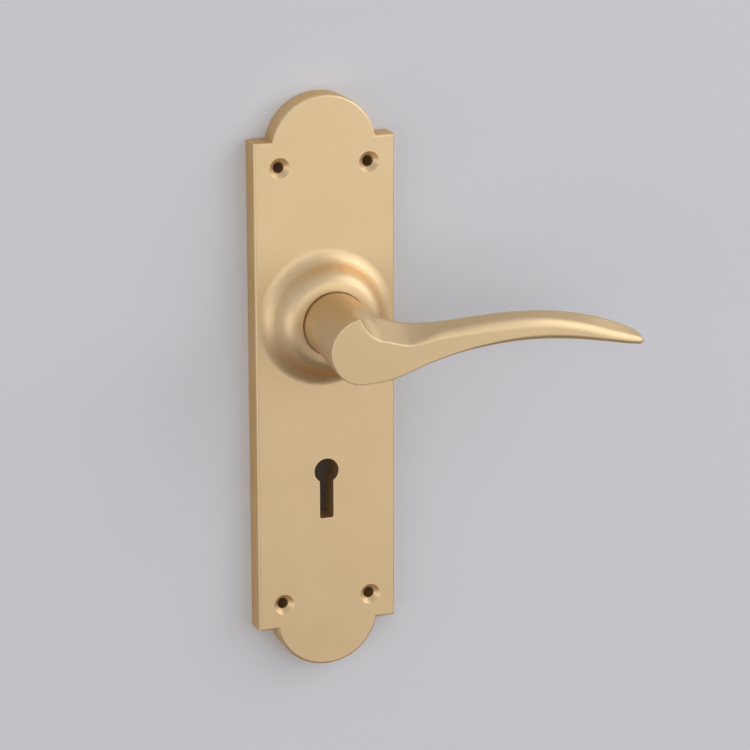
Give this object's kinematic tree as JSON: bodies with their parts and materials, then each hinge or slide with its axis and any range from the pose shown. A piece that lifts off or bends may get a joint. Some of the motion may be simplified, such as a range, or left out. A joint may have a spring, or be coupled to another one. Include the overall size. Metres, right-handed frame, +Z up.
{
  "type": "door lever handle",
  "caption": "Sprung door lever handle with a swept, flat-headed lever on a long arched backplate with a keyhole.",
  "frame": {"origin": "where the spindle axis meets the door face, which is the plane of the backplate's back rim", "axes": "+X along the lever, +Y into the door along the spindle, +Z up along the backplate"},
  "size_m": [0.1363, 0.046, 0.2108],
  "materials": {
    "satin_brass": "satin",
    "nylon": "matte",
    "bronze": "satin",
    "plated_steel": "satin",
    "spring_steel": "satin",
    "screw_steel": "satin"
  },
  "bodies": {
    "plate": {"backplate": "satin_brass", "neck_bush": "nylon", "spring_cup": "plated_steel", "return_spring": "spring_steel", "stop_pins": "screw_steel", "cover_plate": "plated_steel", "cover_screws": "screw_steel"},
    "lever": {"lever_handle": "satin_brass", "thrust_washer": "bronze", "cam_plate": "plated_steel", "wave_washer": "spring_steel", "retaining_ring": "spring_steel"}
  },
  "joints": [
    {"name": "lever_turn", "type": "hinge", "parent": "plate", "child": "lever", "pos_m": [0, 0, 0], "axis": [0, 1, 0], "range_deg": [0, 45], "stiffness_Nm_per_rad": 0.7, "springref_deg": -28.65, "deforming": ["return_spring"]}
  ]
}
